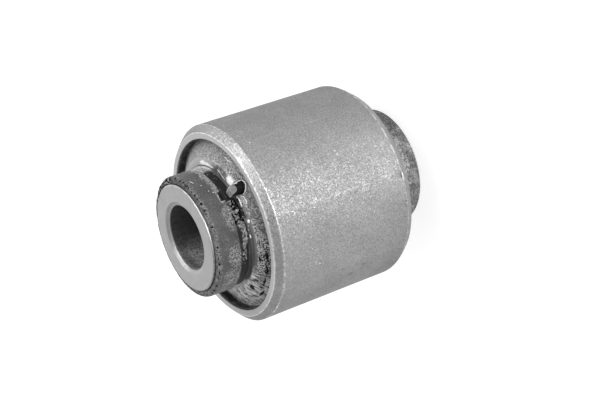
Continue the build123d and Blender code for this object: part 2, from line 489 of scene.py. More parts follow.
class Nodes:
    """The node tree of a material or a world, with the few kinds of node that are used here."""

    def __init__(self, owner, shader="Principled BSDF"):
        self.owner = owner
        owner.use_nodes = True
        self.tree = owner.node_tree
        self.shader = self.tree.nodes[shader]
        self.coordinates = self.add("ShaderNodeTexCoord").outputs
        self.place = self.coordinates["Object"]

    def add(self, kind, inputs=None, **settings):
        node = self.tree.nodes.new(kind)
        for key, value in settings.items():
            setattr(node, key, value)
        for key, value in (inputs or {}).items():
            self.plug(value, node.inputs[key])
        return node

    def plug(self, value, socket):
        if isinstance(value, bpy.types.NodeSocket):
            self.tree.links.new(value, socket)
        else:
            socket.default_value = value

    def masks(self, *names):
        """The share that each mask of the mesh gives, from 0 to 1."""
        nodes = [self.add("ShaderNodeAttribute", attribute_name=name) for name in names]
        return [node.outputs["Fac"] for node in nodes]

    def noise(self, size, detail=2.0, roughness=0.5):
        """Noise from 0 to 1 whose lumps are about size mm across."""
        inputs = {"Scale": 1 / (size * MM), "Detail": detail, "Roughness": roughness}
        return self.add("ShaderNodeTexNoise", {"Vector": self.place, **inputs}).outputs["Fac"]

    def cells(self, size):
        """A random colour for each cell of about size mm."""
        inputs = {"Vector": self.place, "Scale": 1 / (size * MM)}
        return self.add("ShaderNodeTexVoronoi", inputs).outputs["Color"]

    def math(self, operation, a, b=0.0):
        return self.add("ShaderNodeMath", {0: a, 1: b}, operation=operation).outputs[0]

    def vector(self, operation, inputs):
        return self.add("ShaderNodeVectorMath", inputs, operation=operation).outputs[0]

    def step(self, value, low, high, out_low=0.0, out_high=1.0):
        """The value stretched from low..high to out_low..out_high, and held past both ends."""
        ends = {"From Min": low, "From Max": high, "To Min": out_low, "To Max": out_high}
        return self.add("ShaderNodeMapRange", {"Value": value, **ends}).outputs["Result"]

    def cover(self, value, *layers):
        """The value under layers, each a share and what it leads to where the share is 1."""
        for share, aim in layers:
            change = self.math("SUBTRACT", aim, value)
            value = self.math("ADD", value, self.math("MULTIPLY", share, change))
        return value

    def bump(self, height, strength, depth):
        inputs = {"Height": height, "Strength": strength, "Distance": depth * MM}
        return self.add("ShaderNodeBump", inputs).outputs["Normal"]

    def tilted(self, size, amount):
        """The surface's normal, tilted at random in each grain of about size mm."""
        tilt = self.vector("SUBTRACT", {0: self.cells(size), 1: (0.5, 0.5, 0.5)})
        tilt = self.vector("SCALE", {0: tilt, "Scale": amount})
        normal = self.add("ShaderNodeNewGeometry").outputs["Normal"]
        return self.vector("NORMALIZE", {0: self.vector("ADD", {0: normal, 1: tilt})})

    def grey(self, value):
        colour = self.add("ShaderNodeCombineColor", {"Red": value, "Green": value, "Blue": value})
        self.plug(colour.outputs["Color"], self.shader.inputs["Base Color"])

    def finish(self, **sockets):
        for key, value in sockets.items():
            self.plug(value, self.shader.inputs[key.replace("_", " ")])
        return self.owner


def phosphated_steel():
    """Grainy grey zinc phosphate, rubbed bright along its edges and machined on its end faces, with
    painted highlights and painted shade in places.
    """
    n = Nodes(bpy.data.materials.new("outer_steel"))
    worn, machined, stain = n.masks("worn", "machined", "stain")
    fleck = n.step(n.noise(0.5, 1), 0.74, 0.8)
    base = n.step(n.noise(0.24, 2, 0.75), 0.3, 0.7, *PHOSPHATE_GREY)
    base = n.math("MULTIPLY", base, n.step(n.noise(5.0, 3, 0.55), 0.3, 0.7, 0.93, 1.07))
    base = n.cover(base, (fleck, FLECK_GREY), (machined, MACHINED_GREY))
    n.grey(n.cover(base, (worn, WORN_GREY), (stain, STAIN_GREY)))
    rough = n.step(n.noise(0.25, 1), 0.35, 0.65, 0.42, 0.56)
    return n.finish(
        Metallic=n.cover(1.0, (machined, 0.3)),
        Roughness=n.cover(rough, (machined, 0.42), (worn, 0.36)),
        Normal=n.tilted(0.2, n.cover(0.34, (machined, 0.08))),
        Specular_Tint=(0.5, 0.5, 0.5, 1),
    )


def turned_steel():
    """Smooth machined steel with faint turning marks, dull and darker inside the bore, with painted
    light, painted shade and painted highlights in and about the bore.
    """
    n = Nodes(bpy.data.materials.new("inner_steel"))
    soot, grime, haze, worn = n.masks("soot", "grime", "haze", "worn")
    mottle = n.noise(0.5, 3, 0.7)
    base = n.step(n.noise(2.5, 4, 0.6), 0.25, 0.75, *TURNED_GREY)
    sooty = n.step(mottle, 0.35, 0.7, *SOOT_GREY)
    sooty = n.cover(sooty, (haze, n.step(mottle, 0.4, 0.6, *HAZE_GREY)))
    n.grey(n.cover(base, (grime, GRIME_GREY), (soot, sooty), (worn, WORN_GREY)))
    rough = n.step(n.noise(0.9, 3, 0.6), 0.3, 0.7, 0.36, 0.46)
    return n.finish(
        Metallic=n.cover(1.0, (soot, 0.25)),
        Roughness=n.cover(rough, (soot, 0.7)),
        Normal=n.bump(n.noise(0.3), 0.12, 0.02),
    )


def dusty_rubber():
    """Black moulded rubber under bloom and dust, shiny where it was pulled clean."""
    n = Nodes(bpy.data.materials.new("moulded_rubber"))
    dust, dark, gloss = n.masks("dust", "dark", "gloss")
    pale, grain, hollow = n.masks("pale", "grain", "hollow")
    salt = n.step(n.noise(0.26, 3, 0.8), 0.44, 0.6)
    film = n.step(n.noise(2.2, 3, 0.6), 0.3, 0.75, *FILM_GREY)
    coat = n.cover(n.step(salt, 0, 1, *DUST_GREY), (gloss, GLOSSY_DUST_GREY))
    base = n.math("ADD", film, n.math("MULTIPLY", dust, coat))
    # Single grains, some pale and some gone with a black gap in their place, the gap painted shade.
    grains = n.math("ADD", n.cells(0.2), n.math("MULTIPLY", n.noise(0.5, 1), 0.5))
    gap = n.math("MULTIPLY", grain, n.step(grains, 0.6, 0.66, 1, 0))
    light = n.math("MULTIPLY", grain, n.step(grains, 0.86, 0.92))
    # Black as painted shade in pits, creases and gaps, and between the loose grains.
    black = n.math("MAXIMUM", hollow, gap)
    base = n.cover(base, (light, LOOSE_GRAIN_GREY), (dark, CLEAN_GREY))
    n.grey(n.cover(base, (pale, PALE_GREY), (black, HOLLOW_GREY)))
    rough = n.cover(0.5, (dust, 0.8), (gloss, 0.3), (dark, 0.4), (pale, 0.45), (black, 0.8))
    strength = n.math("MULTIPLY", n.cover(0.12, (dust, 0.5)), n.cover(1.0, (gloss, 0.15)))
    # Painted shade: a metal this black has no white sheen, so pits, creases and gaps stay as dark
    # as shade.
    metal = n.math("MULTIPLY", black, 0.9)
    bump = n.bump(salt, strength, 0.03)
    return n.finish(Metallic=metal, Roughness=rough, Normal=bump, Specular_IOR_Level=0.3)


def dust_grain():
    """Pale grit and lint."""
    n = Nodes(bpy.data.materials.new("grit"))
    n.grey(n.step(n.noise(0.2), 0.3, 0.7, *GRIT_GREY))
    return n.finish(Roughness=0.7)


def pale_floor():
    """A lit acrylic table top."""
    n = Nodes(bpy.data.materials.new("pale_floor"))
    n.grey(n.step(n.noise(60.0), 0.3, 0.7, *FLOOR_GREY))
    return n.finish(Roughness=0.7, Emission_Color=(1, 1, 1, 1), Emission_Strength=FLOOR_GLOW)


# ---- Steel sleeves ----

def outer_sleeve(material):
    sleeve = Turned(
        [
            (WALL_R, -OUTER_END, 0.12, 0.4),
            (WALL_R, 2.4 - OUTER_END, 0, 6),
            (WALL_R, OUTER_END - 2.4, 0, 0.4),
            (WALL_R, OUTER_END, 0.12, 0.18),
            (CHAMFER_R, OUTER_END, 0.07, 0.13),
            (DRAWN_R, CHAMFER_LOW, 0.12, 0.1),
            (DRAWN_R, CHAMFER_LOW - 0.5, 0, 0.9),
            (DRAWN_R, LEAD_IN_TOP + 0.5, 0, 0.1),
            (DRAWN_R, LEAD_IN_TOP, 0.25, 0.13),
            (DRAWN_R - LEAD_IN_WIDTH, -OUTER_END, 0.3, 0.2),
        ]
    )
    r, z = sleeve.radius, sleeve.height
    jaw_flats(sleeve, r)
    rubbed_burrs(sleeve, r, z)
    stained_outside(sleeve, r, z)
    worn_ends(sleeve, r, z)
    piece = sleeve.piece("outer_sleeve_tube", material)
    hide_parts("outer_sleeve")
    return sleeve, piece


def outside_of(r):
    return smooth(DRAWN_R - 0.3, DRAWN_R - 0.05, r)


def jaw_flats(sleeve, r):
    """The stretches that the jaws pressed, lowest in their middle, and the rubbed lines between."""
    pitch = 360 / JAWS
    to_line = 1 - np.abs(turn_between(sleeve.azimuth, JAW_LINE) % pitch / pitch * 2 - 1)
    outer_half = smooth(WALL_R + 0.3, CHAMFER_R - 0.2, r)
    fall = np.hypot(to_line, JAW_SOFTNESS) - JAW_SOFTNESS
    sleeve.radius = r + outer_half * JAW_RISE * (fall ** 2 - 2 * fall)
    sleeve.push(outside_of(r) * 0.012 * (sleeve.lumps(4.0, 1) - 1))
    ridge = np.exp(-(to_line * pitch / 2 / JAW_LINE_WIDTH) ** 2) * outside_of(r)
    rubbed = 0.15 + 0.2 * sleeve.sector(JAW_LINE - 2, JAW_LINE + 2, 0.5)
    sleeve.paint(worn=rubbed * ridge * smooth(-0.3, 0.4, sleeve.lumps(0.8, 5, (1, 1, 0.2))))


def rubbed_burrs(sleeve, r, z):
    """Burrs rubbed bright along the edges of both chamfers."""
    beads = smooth(-0.25, 0.35, sleeve.lumps(0.5, 2))
    blurred = sleeve.sector(*BLURRED_BURRS)
    edges = [
        (DRAWN_R, CHAMFER_LOW, 0.2),
        (CHAMFER_R, OUTER_END, 0.14 * (1 + 1.4 * sleeve.sector(*WIDE_BURR) * (0.6 + 0.4 * beads))),
        (DRAWN_R, LEAD_IN_TOP, 0.19 + 0.09 * sleeve.sector(*WIDE_LEAD_IN_BURR)),
    ]
    for edge_r, edge_z, width in edges:
        far = np.hypot(r - edge_r, z - edge_z)
        edge = 1 - smooth(0.04, width * (1 + 0.8 * blurred), far)
        sleeve.push(edge * 0.015 * (beads - 1))
        sleeve.paint(worn=edge * (0.25 + 0.75 * beads) * (1 - 0.5 * blurred))


def stained_outside(sleeve, r, z):
    """Nicks in the lower edge, stains, and the darker stretches of the outside: painted shade
    between -62 and -24, the lower half darker outside the band light's highlight, and a painted
    highlight within it.
    """
    for azimuth, half_az, depth in NICKS:
        along = (z - LEAD_IN_TOP - 0.1) / NICK_HALF_HEIGHT
        nick = sleeve.spot(azimuth, half_az, along, 0.5 * sleeve.lumps(0.4, 31))
        nick *= r > WALL_R + 0.5
        sleeve.push(-depth * nick)
        sleeve.paint(worn=smooth(0.1, 0.5, nick) * (1 - smooth(0.5, 0.9, nick)))
        sleeve.paint(stain=0.8 * smooth(0.5, 0.95, nick))
    for azimuth, height, half_az, half_height in STAINS:
        spot = sleeve.spot(azimuth, half_az, (z - height) / half_height, sleeve.lumps(0.5, 6))
        sleeve.paint(stain=0.6 * spot * outside_of(r))
    # clean is the sector of the band light's highlight.
    clean = sleeve.sector(*LEAST_STAINED)
    # Painted shade on the outside between -62 and -24.
    sleeve.paint(stain=0.13 * sleeve.sector(*OILY) * outside_of(r))
    # Darker along the lower half, outside the band light's highlight.
    sleeve.paint(stain=0.12 * (1 - clean) * (1 - smooth(-12, -7, z)) * outside_of(r))
    # Painted highlight: brighter along the lower half, within the band light's highlight.
    sleeve.paint(worn=0.06 * clean * (1 - smooth(-11, -3, z)) * outside_of(r))


def worn_ends(sleeve, r, z):
    """The chamfers, with a painted highlight on the side towards the key light and painted shade at
    the front, the rubbed lead-in, and the machined end faces, rubbed at the front and with painted
    shade towards -X.
    """
    # Painted highlight: the key light's reflection on the chamfer.
    azimuth, radius, half_az, half_r = RUBBED_SPOT
    spot = sleeve.spot(azimuth, half_az, (r - radius) / half_r, 0.6 * sleeve.lumps(0.5, 7))
    sleeve.paint(worn=0.6 * spot * (z > CHAMFER_LOW + 0.3))
    chamfer = between(CHAMFER_LOW + 0.1, OUTER_END - 0.1, z, 0.05) * (r > CHAMFER_R - 0.1)
    # Painted highlight on the chamfer's side towards the key light, over a slight wear all round.
    worn = 0.02 + 0.14 * sleeve.sector(*WORN_CHAMFER) + 0.16 * sleeve.sector(*MOST_WORN_CHAMFER)
    # Painted shade on the chamfer at the front.
    sleeve.paint(worn=chamfer * worn, stain=0.16 * chamfer * sleeve.sector(*STAINED_CHAMFER))
    lead_in = between(0.1 - OUTER_END, LEAD_IN_TOP - 0.1, z, 0.05) * (r > DRAWN_R - LEAD_IN_WIDTH)
    sleeve.paint(worn=0.22 * lead_in * (0.8 + 0.3 * sleeve.lumps(1.5, 32)))
    sleeve.paint(worn=0.14 * (z > OUTER_END - END_SKIN) * sleeve.sector(*WORN_END_FACE))
    end_face = (np.abs(z) > OUTER_END - END_SKIN) * smooth(WALL_R, WALL_R + 0.1, r)
    # Painted shade: the end faces are less machined grey, so darker, towards -X.
    sleeve.paint(machined=end_face * (1 - 0.3 * sleeve.sector(*DULL_END_FACE)))


def inner_sleeve(material):
    upper = [
        (BORE_R, MOUTH - 2.5, 0, 0.3),
        (BORE_R, MOUTH, 0.1, 0.12),
        (BORE_R + BORE_CHAMFER_WIDTH, INNER_END, 0.04, 0.25),
        (INNER_R, INNER_END, 0.2, 0.12),
        (INNER_R, INNER_END - 0.8, 0, 8),
    ]
    steps = [0.12, 0.25, 0.12, 0.3, 1.5]
    lower = [(r, -z, rounding, step) for (r, z, rounding, _), step in zip(upper[::-1], steps)]
    sleeve = Turned(upper + lower)
    r, z = sleeve.radius, np.abs(sleeve.height)
    inside = 1 - smooth(BORE_R + 0.02, BORE_R + 0.12, r)
    # Darker and duller inside the bore, below its mouth.
    sleeve.paint(soot=inside * smooth(0.0, 0.35, MOUTH - z))
    # Painted light, mottled, on the bore's wall towards -X, where the key light reaches in.
    sleeve.paint(haze=inside * sleeve.sector(*HAZY_BORE) * smooth(-0.9, 0.4, sleeve.lumps(2.5, 8)))
    chamfer = between(BORE_R + 0.1, BORE_R + BORE_CHAMFER_WIDTH - 0.05, r, 0.04) * (z > MOUTH - 0.1)
    # Painted shade on the chamfer towards +X, where it faces away from the key light.
    grimy = 0.35 * sleeve.sector(*GRIMY_MOUTH) + 0.25 * sleeve.sector(*GRIMIEST_MOUTH)
    bright = sleeve.sector(*BRIGHT_MOUTH)
    sleeve.paint(grime=chamfer * grimy)
    # Painted highlight on the chamfer between 104 and 152, over a slight wear all round.
    sleeve.paint(worn=chamfer * (0.1 + bright * (0.7 + 0.5 * sleeve.lumps(0.5, 10, (1, 1, 4)))))
    # Painted highlight along the bore's rounded lip, strongest between 104 and 152.
    lip = between(BORE_R + 0.02, BORE_R + 0.12, r, 0.05) * (z > MOUTH - 0.2)
    sleeve.paint(worn=lip * (0.1 + 0.7 * bright) * smooth(-0.3, 0.3, sleeve.lumps(0.7, 4)))
    # Painted shade along the end face's outer edge, at the gap to the rubber's rim, except between
    # -115 and 5.
    edge = smooth(INNER_R - FACE_EDGE, INNER_R - FACE_EDGE * 0.5, r)
    dirty = 1 - sleeve.sector(*CLEAN_EDGE)
    sleeve.paint(grime=edge * dirty * (0.6 + 0.5 * sleeve.lumps(0.5, 3)))
    # Painted highlight on the end face's rounded outer edge.
    rubbed = smooth(INNER_R - 0.36, INNER_R - 0.2, r) * (z > INNER_END - 0.1)
    rubbed *= sleeve.sector(*RUBBED_EDGE)
    sleeve.paint(worn=0.5 * rubbed * smooth(-0.25, 0.35, sleeve.lumps(0.8, 9)))
    sleeve.push(0.006 * (sleeve.lumps(1.5, 4) - 1))
    piece = sleeve.piece("inner_sleeve_tube", material)
    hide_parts("inner_sleeve")
    return piece


# ---- Rubber ----

class Moulding(Turned):
    """One end of the rubber, with its regions and the layers of its finish; side is 1 or -1."""

    def __init__(self, side, step):
        corners = [
            (INNER_R, 0, 0, 12),
            (INNER_R, RIM_END - 0.45, 0, step),
            (INNER_R + 0.14, RIM_END - 0.03, 0.1, step * 0.7),
            (COLLAR_R, RIM_END, 0.7, step * 0.7),
            (COLLAR_R, RIM_END - 0.75, 0, step * 2),
            (COLLAR_R, TEAR_TOP + 0.6, 0, step),
            (COLLAR_R, SHOULDER, 0.06, step * 0.8),
            (NECK_R, SHOULDER, 0.06, step),
            (NECK_R, CREST, 0.08, step),
            (NECK_R + BEAD_WIDTH, CREST, 2.3, step),
            (WALL_R - SKIN, FACE_AT_WALL, 0.2, step * 1.3),
            (WALL_R - SKIN, SKIN_END, 0.06, step * 1.3),
            (WALL_R, SKIN_END, 0, 8),
            (WALL_R, 0, 0, 2),
        ]
        super().__init__([(r, z * side, rounding, each) for r, z, rounding, each in corners])
        level, r = np.abs(self.height), self.radius
        self.level = level
        self.ragged = self.lumps(0.9, 11) + 0.6 * self.lumps(0.35, 12)
        self.fine = self.lumps(0.3, 13)
        self.coarse = self.lumps(2.2, 14)
        self.rim = smooth(RIM_END - 0.9, RIM_END - 0.5, level)
        self.rim *= smooth(INNER_R + 0.1, INNER_R + 0.3, r)
        self.collar = smooth(SHOULDER - 0.05, SHOULDER + 0.05, level) * (1 - self.rim)
        self.neck = between(CREST + 0.05, SHOULDER - 0.02, level, 0.02) * (r < COLLAR_R - 0.05)
        self.recess = (1 - smooth(CREST - 0.02, CREST + 0.04, level)) * (r < WALL_R - 0.1)
        self.wall = smooth(WALL_R - SKIN - 0.12, WALL_R - SKIN, r) * (level > FACE_AT_WALL - 0.05)
        past_bead = smooth(PARTING_R - 0.03, PARTING_R + 0.03, r)
        self.bead = self.recess * (1 - past_bead)
        self.face = self.recess * past_bead * (1 - self.wall)
        self.masks = {name: 0 * r for name in ("dust", "dark", "gloss", "pale", "grain", "hollow")}
        self.masks["dust"] = 0.12 + 0.1 * self.coarse


def dusty_collar(end):
    """A hand-finished mould's slight waviness, under patches of dust."""
    for azimuth, height, half_az, half_height, amount in DUSTY_PATCHES:
        spot = end.spot(azimuth, half_az, (end.level - height) / half_height, end.ragged)
        spot *= amount * end.collar
        end.paint(dust=spot, grain=0.45 * spot)
    waves = 0.02 * end.coarse + 0.006 * end.ragged + 0.015 * end.fine
    end.push(end.collar * waves)


def clean_neck(end):
    """The neck was pulled clean; its upper edge wanders over the shoulder."""
    edge = SHOULDER + np.interp(end.azimuth, *zip(*NECK_EDGE))
    edge += 0.09 * end.lumps(0.8, 15, (1, 1, 0))
    clean = between(CREST + 0.1, 99, end.level, 0.05)
    clean *= 1 - smooth(-0.05, 0.05, end.level - edge)
    clean *= (end.radius > INNER_R + 0.5) * (1 - end.wall)
    dust = 0.7 * end.neck * smooth(-0.4, 0.6, end.coarse + 0.5 * end.ragged)
    dusty = end.neck * end.sector(-25, 45, 5)
    end.paint(dust=np.maximum(dust, dusty), grain=0.7 * dusty)
    end.paint(pale=dusty * (0.6 + 0.4 * end.ragged))
    # The clean neck is black rubber; painted shade darkens it further, less between -165 and -112.
    end.paint(dark=clean, hollow=clean * (0.35 - 0.27 * end.sector(-165, -112, 6)))
    end.wipe(clean, "dust")
    # Painted highlight: a pale line just above the clean neck's upper edge, between -75 and -25.
    lit = between(0.02, 0.14, end.level - edge, 0.04) * end.sector(-75, -25, 8)
    end.paint(pale=0.35 * lit * smooth(-0.4, 0.5, end.ragged))
    powdered = end.collar * (1 - clean) * end.sector(-64, -4, 5)
    powdered *= 1 - smooth(18.4, 19.0, end.level + 0.25 * end.ragged)
    powdered *= 0.1 + 0.27 * smooth(-33, -15, end.azimuth)
    end.paint(pale=powdered * smooth(-0.8, 0.5, end.ragged + end.fine))


def crumb_ridge(end):
    """A ridge of crumbs on the neck beside the gate, with painted shade below it."""
    az, level, ragged = end.azimuth, end.level, end.ragged
    ridge_az, *edges = zip(*CRUMB_RIDGE)
    low, high, least = (np.interp(az, ridge_az, edge) for edge in edges)
    beside = end.sector(ridge_az[0], ridge_az[-1], 2) * (end.radius > NECK_R - 0.1)
    beside *= between(CREST + 0.02, CRUMB_TOP, level, 0.03)
    heaps = end.lumps(0.8, 16) + 0.6 * end.lumps(0.3, 26)
    crumbly = beside * between(low, high, level + 0.3 * ragged + 0.25 * heaps, 0.08)
    crumbly *= smooth(least - 0.08, least + 0.08, heaps)
    gap = smooth(-0.05, 0.15, low - level - 0.15 * ragged)
    gap = np.maximum(gap, smooth(-0.1, 0.1, 17.9 - level) * smooth(-98, -92, az))
    gap *= beside * (1 - crumbly)
    end.push(0.2 * crumbly * (0.5 + heaps) - 0.15 * gap * end.neck)
    end.wipe(crumbly, "dark", "hollow")
    end.paint(dust=crumbly, grain=0.4 * crumbly, pale=0.15 * crumbly)
    # Painted shade below the ridge.
    end.paint(hollow=gap * end.sector(-112, -66, 5))


def tear(end):
    """Where the collar's skin came away above the gate, with a lifted lip round it."""
    first, last = TEAR
    torn = end.sector(first, last, 0.25) * between(SHOULDER - 0.6, TEAR_TOP, end.level, 0.06)
    torn *= end.radius > NECK_R - 0.1
    end.push(-torn * (TEAR_DEPTH + 0.08 * end.fine))
    lip = end.sector(first - 1.3, last + 1.3, 0.3) * (1 - torn) * end.collar
    lip *= between(SHOULDER, TEAR_TOP + 0.2, end.level, 0.05)
    end.push(lip * 0.09 * (1 + end.fine))
    end.paint(pale=0.6 * lip * smooth(-0.5, 0.4, end.fine), dark=torn)


def mottled_rim(end):
    """The rim's round: mottled, with painted shade on one side, and black spots and rows of small
    pits painted black as shade.
    """
    draw = random.Random(7)
    r = end.radius
    # Painted shade: less dust, so darker, between -60 and 70.
    cleaner = 0.3 * end.sector(-60, 70, 15)
    mottle = 0.4 * end.coarse + 0.15 * end.ragged
    end.paint(dust=end.rim * (0.42 - cleaner + mottle))
    end.paint(grain=end.rim * (0.25 + 0.3 * end.coarse))
    end.push(end.rim * 0.03 * end.ragged)
    spotted = end.sector(-12, 75, 6) * end.rim
    end.paint(hollow=0.9 * spotted * smooth(0.1, 0.3, end.lumps(0.6, 27)))
    end.paint(pale=0.4 * spotted * smooth(0.05, 0.35, end.lumps(0.5, 28)))
    pits = [(azimuth, PIT_R, PIT_HALF_LENGTH, PIT_HALF_WIDTH) for azimuth in RIM_PITS]
    for azimuth, last, pitch, radius, half_long, half_wide in RIM_DASHES:
        while azimuth < last:
            pits.append((azimuth, radius, half_long, half_wide))
            azimuth += pitch * draw.uniform(0.6, 1.4)
    for azimuth, radius, half_long, half_wide in pits:
        at_r = radius + draw.uniform(-0.1, 0.1)
        size = draw.uniform(0.75, 1.15)
        across = np.radians(turn_between(end.azimuth, azimuth)) * at_r / (half_long * size)
        along = (r - at_r) / (half_wide * size)
        pit = np.exp(-(across ** 2 + along ** 2) ** 1.5) * end.rim
        end.push(-PIT_DEPTH * size * pit)
        end.paint(hollow=smooth(0.08, 0.3, pit))


def bead_and_face(end):
    """The smooth bead, the parting line at its foot and the dusty conical face, with painted light
    on the side where the key light falls and painted shade in places.
    """
    az, r, bead, face = end.azimuth, end.radius, end.bead, end.face
    coarse, ragged, fine = end.coarse, end.ragged, end.fine
    # Painted light: more dust and pale paint, and fewer dark loose grains, on the side towards +X,
    # where the key light falls.
    lit = 0.5 + 0.5 * np.cos(np.radians(az - 20))
    end.paint(gloss=bead, dust=bead * (0.1 + lit))
    # Painted shade on the bead between -50 and -32: its dust wiped off and darkened.
    shaded = bead * end.sector(-50, -32, 6) * smooth(-0.6, 0.2, ragged)
    end.wipe(0.9 * shaded, "dust")
    end.paint(dark=0.3 * shaded)
    # A crease in the bead, painted black as shade.
    crease = np.exp(-((r - NECK_R - 1.15) / 0.1) ** 2) * end.sector(-128, -100, 6)
    end.paint(hollow=0.6 * crease * bead)
    end.push(bead * (0.03 * coarse - 0.05 * crease))
    line = np.exp(-((r - PARTING_R) / 0.11) ** 2) * end.recess
    dots = smooth(-0.25, 0.3, end.lumps(0.45, 17))
    end.push(line * (0.05 + 0.04 * ragged))
    end.paint(pale=(0.4 + 0.25 * lit) * line * dots)
    calm = 1 - 0.25 * end.sector(-113, -70, 9)
    end.paint(dust=face * (0.6 + 0.5 * lit + 0.3 * coarse) * calm)
    end.paint(pale=face * np.clip(0.3 * lit - 0.06 + 0.08 * ragged + 0.06 * coarse, 0, 1))
    even = 1 - 0.45 * end.sector(-106, -68, 9)
    end.paint(grain=face * (1.0 - 0.8 * lit + 0.35 * coarse) * even)
    # Dots painted black as shade near the foot of the recess wall.
    dotted = 0.8 * face * between(14.7, 15.6, r, 0.25) * end.sector(-65, 80, 12)
    dotted *= 1 - 0.6 * smooth(-35, -20, az)
    end.paint(hollow=dotted * smooth(0.05, 0.3, fine))
    end.push(face * (0.025 * ragged + 0.03 * fine))


def torn_bead(end):
    """The bead's inner side is torn just past the gate, and painted black there as shade."""
    inner_side = end.bead * (1 - smooth(NECK_R + 0.75, NECK_R + 1.0, end.radius))
    torn = inner_side * end.sector(-91, -68, 3) * smooth(-0.5, -0.2, end.ragged)
    end.push(-0.15 * torn)
    end.paint(hollow=torn)


def scoring(end):
    """Pale dust on one side, scored in dark strokes down the slope, and slots near the wall;
    strokes, slots and the dark between streaks are painted black as shade.
    """
    draw = random.Random(9)
    az, r, ragged = end.azimuth, end.radius, end.ragged
    first, last = SCORED
    half = (last - first) / 2
    turn = np.abs(turn_between(az, (first + last) / 2)) + 5 * ragged
    past = smooth(-165, -150, (az + 330) % 360 - 330)
    scored = 1 - smooth(half - SCORED_FADE, half + SCORED_FADE, turn)
    scored *= end.recess * smooth(-0.1, 0.2, r - NECK_R - 0.9 * past) * (1 - end.wall)
    bright = (1 - past) * (1 - smooth(12.0, 12.8, r))
    squeezed = np.stack([*about_bore(az, 13), 0.25 * r], -1)  # so that streaks run down the slope
    streaks = lumps(squeezed, 0.32, 30) + 0.4 * ragged
    end.wipe(scored, "gloss")
    end.wipe(0.75 * scored, "grain")
    pale = 0.42 + 0.3 * bright + 0.25 * end.coarse + 0.6 * streaks
    end.paint(dust=scored, pale=scored * pale)
    between_strokes = smooth(0.25, 0.45, -streaks) * smooth(NECK_R + 1.2, NECK_R + 1.6, r)
    end.paint(hollow=0.8 * scored * between_strokes)
    strokes = [(*stroke, STROKE_HALF_WIDTH) for stroke in STROKES]
    for _ in range(FINE_STROKES):
        radius = draw.uniform(NECK_R + 0.9, WALL_R - 0.9)
        azimuth = draw.uniform(first, -150)
        strokes.append((azimuth, radius, draw.uniform(0.25, 0.6), draw.uniform(0.08, 0.13)))
    for azimuth, radius, half_long, half_wide in strokes:
        across = np.radians(turn_between(az, azimuth)) * radius / half_wide
        along = (r - radius) / half_long
        stroke = 1 - smooth(0.6, 1.2, (across ** 4 + along ** 4) ** 0.25 + 0.2 * ragged)
        end.push(-STROKE_DEPTH * stroke * end.recess)
        end.paint(hollow=stroke * end.recess)
    for azimuth, radius, half_az in SLOTS:
        slot = end.spot(azimuth, half_az, (r - radius) / SLOT_HALF_WIDTH, 0.5 * ragged)
        end.push(-SLOT_DEPTH * slot * end.face)
        end.paint(hollow=smooth(0.2, 0.6, slot) * end.face)


def pale_patches(end):
    """The torn flap past the gate, and painted highlights on the bead."""
    azimuth, radius, half_az, half_r = TORN_FLAP
    flap = end.spot(azimuth, half_az, (end.radius - radius) / half_r, end.ragged)
    end.wipe(flap, "gloss")
    flap *= end.recess
    end.paint(dust=flap, pale=0.25 * flap)
    end.push(flap * 0.06 * (1 + end.fine))
    # Painted highlights on the bead, pale and slightly raised.
    for azimuth, radius, half_az, half_r in PALE_PATCHES:
        across = np.abs(turn_between(end.azimuth, azimuth) / half_az)
        along = np.abs(end.radius - radius) / half_r
        far = (across ** 2.4 + along ** 2.4) ** (1 / 2.4)
        far += 0.3 * end.ragged + 0.15 * end.fine
        spot = (1 - smooth(0.8, 1.05, far)) * end.recess
        end.paint(pale=(0.9 + 0.15 * end.fine) * spot)
        end.push(spot * 0.03)


def dusty_foot(end):
    """Dust on the bead's flat top beside the neck, and the crease outside it painted black as
    shade.
    """
    r = end.radius
    foot = end.bead * (1 - smooth(*FOOT_R, r + 0.05 * end.ragged)) * end.sector(-27, 12, 3)
    end.wipe(foot, "gloss")
    end.paint(dust=foot, grain=0.5 * foot, pale=foot * (0.95 + 0.4 * end.ragged))
    crease = end.bead * np.exp(-((r - CREASE_R) / 0.09) ** 2) * end.sector(-33, -3, 3)
    end.push(0.04 * foot * (1 + end.fine) - 0.06 * crease)
    end.wipe(crease, "pale")
    end.paint(hollow=crease)


def wall_skin(end):
    """The thin skin up the recess wall: dark, as black rubber and as painted shade of the recess,
    with a torn upper edge.
    """
    dusty = 0.5 * smooth(0.1, 0.5, end.ragged)
    end.wipe(end.wall, "dust", "pale")
    end.paint(dust=end.wall * dusty, dark=end.wall * (0.9 - dusty))
    edge = smooth(SKIN_END - 0.3, SKIN_END, end.level) * (end.radius > WALL_R - SKIN - 0.1)
    torn = smooth(0.0, 0.5, end.lumps(0.8, 29))
    end.height = end.height - 0.25 * edge * torn * np.sign(end.height)


def dimple(end):
    """The round dimple at the gate, painted black inside as shade."""
    x, y = about_bore(end.azimuth, end.radius)
    gate_x, gate_y = about_bore(GATE_AZ, GATE_R)
    far = np.hypot(x - gate_x, y - gate_y) + 0.06 * end.ragged
    lip = end.recess * np.exp(-((far - DIMPLE_R - 0.12) / 0.1) ** 2)
    end.height = end.height + 0.1 * lip
    sunk = (1 - smooth(DIMPLE_R - 0.14, DIMPLE_R, far)) * end.recess
    floor = np.minimum(end.height, DIMPLE_FLOOR + 0.1 * end.ragged)
    end.height = end.height * (1 - sunk) + floor * sunk
    end.wipe(sunk, "dust", "pale", "gloss")
    end.paint(hollow=sunk * (0.75 + 0.25 * smooth(-0.2, 0.4, end.ragged)))


